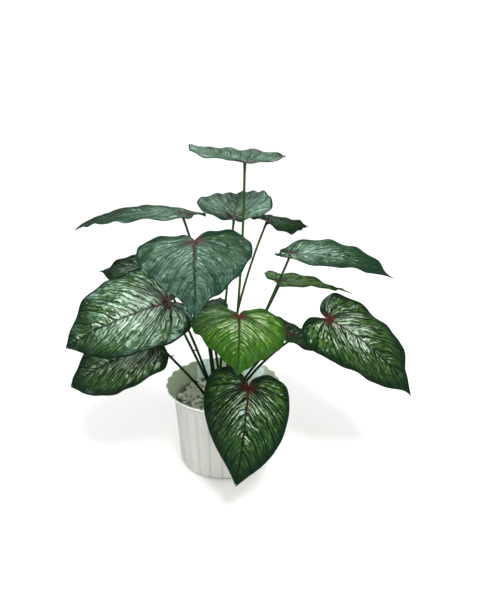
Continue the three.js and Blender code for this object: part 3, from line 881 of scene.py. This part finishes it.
def pleat(pot, rings):
    """Presses the grooves between the pot's panels, and scallops and crimps its collar"""
    for vertex in pot.data.vertices:
        radius = vertex.co.xy.length / MM
        if radius < rings[0].radius + RING_MARGIN:
            continue
        height = vertex.co.z / MM
        ring = min(rings, key=lambda one: abs(one.height - height))
        turn = (math.atan2(vertex.co.y, vertex.co.x) / (2 * math.pi) * PLEATS) % 1
        apart = min(turn, 1 - turn) * 2 * math.pi * radius / PLEATS
        arch = math.sin(math.pi * turn)
        groove = -PLEAT_DEPTH * math.exp(-((apart / GROOVE_WIDTH) ** 2)) + PANEL_CROWN * arch
        crimp = CRIMP_DEPTH * math.cos(2 * math.pi * CRIMPS_A_PLEAT * turn)
        move = ring.pleat * groove + ring.scallop * (SCALLOP_RIPPLE * (arch - 0.5) + crimp)
        vertex.co.xy *= (radius + move) / radius
        vertex.co.z += ring.scallop * SCALLOP_RISE * arch * MM


def make_pot(finishes):
    rings = pot_rings()
    pot = pot_shell(rings)
    pot.name = "pleated_pot"
    pleat(pot, rings)
    for one in finishes:
        pot.data.materials.append(one)
    wall = pot.modifiers.new("wall", "SOLIDIFY")
    wall.thickness = COLLAR_WALL * MM
    wall.offset = -1
    wall.material_offset = 1
    bpy.ops.object.modifier_apply(modifier="wall")
    lip = pot.modifiers.new("lip", "BEVEL")
    lip.width = LIP_ROUND * MM
    lip.segments = 2
    lip.limit_method = "ANGLE"
    lip.angle_limit = math.radians(LIP_CORNER)
    bpy.ops.object.modifier_apply(modifier="lip")
    bpy.ops.object.shade_smooth_by_angle(angle=math.radians(SMOOTH_CORNER))
    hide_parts("pot")
    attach(pot, "root")


def chip_bed(finish, bed_finish):
    """Dark disc on the soil that the chips lie on"""
    deselect_all()
    bpy.ops.mesh.primitive_cylinder_add(
        vertices=CHIP_BED_SIDES, radius=GRAVEL_RADIUS * MM, depth=(CHIP_BED_TOP - SOIL_TOP) * MM,
        location=(0, 0, (CHIP_BED_TOP + SOIL_TOP) / 2 * MM))
    bed = bpy.context.object
    bpy.ops.object.transform_apply()
    bed.data.materials.append(finish)
    bed.data.materials.append(bed_finish)
    for face in bed.data.polygons:
        face.material_index = 1
    bed.data.attributes.new("chip_tone", "FLOAT", "POINT")
    return bed


# What is drawn at random for one stone chip
Chip = namedtuple("Chip", "spot shape turn height facets tone")


def draw_chip(draw, index):
    """Draws a chip: its spot follows a sunflower's spiral, loosely"""
    size = CHIP_SIZE * draw.uniform(CHIP_SMALLEST, 1)
    reach = (GRAVEL_RADIUS + CHIP_OVERHANG - size) * math.sqrt((index + 0.5) / CHIP_COUNT)
    around = index * math.radians(GOLDEN_ANGLE) + draw.uniform(-CHIP_SWAY, CHIP_SWAY)
    spot = Vector((reach * math.cos(around), reach * math.sin(around)))
    shape = Vector((1, draw.uniform(*CHIP_BREADTH), draw.uniform(*CHIP_DEPTH))) * size
    tilts = [draw.uniform(-CHIP_TILT, CHIP_TILT) for axis in range(2)]
    turn = Euler((*tilts, draw.uniform(0, CHIP_SPIN)))
    height = CHIP_BED_TOP + draw.uniform(*CHIP_LIFT)
    facets = []
    for facet in range(FACETS):
        normal = Vector([draw.uniform(-1, 1) for axis in range(3)]).normalized()
        facets.append((normal, draw.uniform(*FACET_REACH)))
    return Chip(spot, shape, turn, height, facets, draw.uniform(0, 1))


def cut_facets(place, facets):
    """Presses a point of the ball back to the flat facets it reaches over"""
    for normal, reach in facets:
        over = place.dot(normal) - reach
        if over > 0:
            place = place - normal * over
    return place


def lay_chip(pattern, drawn):
    """One stone chip, cut from a copy of the ball"""
    chip = pattern.copy()
    chip.data = pattern.data.copy()
    bpy.context.scene.collection.objects.link(chip)
    for vertex in chip.data.vertices:
        place = cut_facets(vertex.co.copy(), drawn.facets) * drawn.shape
        place.rotate(drawn.turn)
        vertex.co = (place + Vector((*drawn.spot, drawn.height))) * MM
    tones = chip.data.attributes.new("chip_tone", "FLOAT", "POINT")
    tones.data.foreach_set("value", [drawn.tone] * len(chip.data.vertices))
    return chip


def make_gravel(finish, bed_finish):
    """Layer of stone chips on a dark bed, with the stems standing between them"""
    draw = random.Random(CHIP_SEED)
    bed = chip_bed(finish, bed_finish)
    deselect_all()
    bpy.ops.mesh.primitive_ico_sphere_add(subdivisions=2, radius=1)
    ball = bpy.context.object
    ball.data.materials.append(finish)
    feet = [Vector(leaf.foot) for leaf in LEAVES]
    chips = []
    for index in range(CHIP_COUNT):
        drawn = draw_chip(draw, index)
        if all((drawn.spot - foot).length >= STEM_CLEARANCE for foot in feet):
            chips.append(lay_chip(ball, drawn))
    bpy.data.objects.remove(ball)
    select_only(bed, *chips)
    bpy.ops.object.join()
    bed.name = "gravel_chips"
    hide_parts("gravel")
    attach(bed, "root")


def make_floor():
    deselect_all()
    bpy.ops.mesh.primitive_circle_add(vertices=FLOOR_SIDES, radius=FLOOR_RADIUS, fill_type="NGON")
    floor = bpy.context.object
    floor.name = "floor"
    floor.data.materials.append(floor_finish())
    floor.visible_glossy = False


def make_lamp(name, place, size, power):
    """Soft round lamp aimed at the middle of the plant"""
    deselect_all()
    bpy.ops.object.light_add(type="AREA", location=place)
    lamp = bpy.context.object
    lamp.name = name
    lamp.data.shape = "DISK"
    lamp.data.size = size
    lamp.data.energy = power
    lamp.rotation_euler = (Vector(LAMP_AIM) - Vector(place)).to_track_quat("-Z", "Y").to_euler()
    return lamp


def make_world():
    """White surroundings, brighter low down, which glossy surfaces mirror only faintly"""
    world = bpy.data.worlds.new("studio")
    bpy.context.scene.world = world
    world.use_nodes = True
    nodes = world.node_tree.nodes
    links = world.node_tree.links

    def change(value, numbers):
        """Smooth change of a value, its numbers given by socket"""
        node = nodes.new("ShaderNodeMapRange")
        node.interpolation_type = "SMOOTHSTEP"
        links.new(value, node.inputs["Value"])
        for socket, number in numbers.items():
            node.inputs[socket].default_value = number
        return node.outputs["Result"]

    height = nodes.new("ShaderNodeSeparateXYZ")
    links.new(nodes.new("ShaderNodeTexCoord").outputs["Generated"], height.inputs[0])
    mirrored = nodes.new("ShaderNodeLightPath").outputs["Is Glossy Ray"]
    strength = nodes.new("ShaderNodeMath")
    strength.operation = "MULTIPLY"
    links.new(change(height.outputs["Z"], WALL_WHITE), strength.inputs[0])
    links.new(change(mirrored, MIRRORED_WHITE), strength.inputs[1])
    back = nodes["Background"]
    back.inputs["Color"].default_value = (1, 1, 1, 1)
    links.new(strength.outputs[0], back.inputs["Strength"])


def make_studio():
    """Surroundings, a soft key lamp high in front, and lamps that only give the leaves their mint sheen"""
    make_world()
    make_lamp(*KEY_LAMP).visible_glossy = False
    for lamp in SHEEN_LAMPS:
        sheen = make_lamp(*lamp)
        sheen.data.color = SHEEN_TINT
        sheen.visible_diffuse = False
    bpy.context.scene.view_settings.view_transform = "Standard"


def make_camera():
    deselect_all()
    bpy.ops.object.camera_add(location=CAMERA_PLACE, rotation=(math.radians(CAMERA_TILT), 0, 0))
    camera = bpy.context.object
    camera.data.sensor_width = SENSOR_WIDTH
    camera.data.lens = LENS
    bpy.context.scene.camera = camera


make_camera()
make_studio()
make_floor()

blade_rim = edge_finish()
blade_finishes = {
    kind: (blade_finish("blade_" + kind, tints), underside_finish("underside_" + kind, tints), blade_rim)
    for kind, tints in BLADE_TINTS.items()
}
stem_green = stem_finish()
for number, leaf in enumerate(LEAVES):
    make_blade(leaf, number * LEAF_SEED, blade_finishes[leaf.finish])
    make_stem(leaf, stem_green)
make_pot((pot_finish(), pot_inside_finish()))
make_gravel(chip_finish(), soil_finish("soil_between_chips", CHIP_BED_TINTS))
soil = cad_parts["soil"]
soil.data.materials.clear()
soil.data.materials.append(soil_finish("potting_soil", POTTING_SOIL_TINTS))
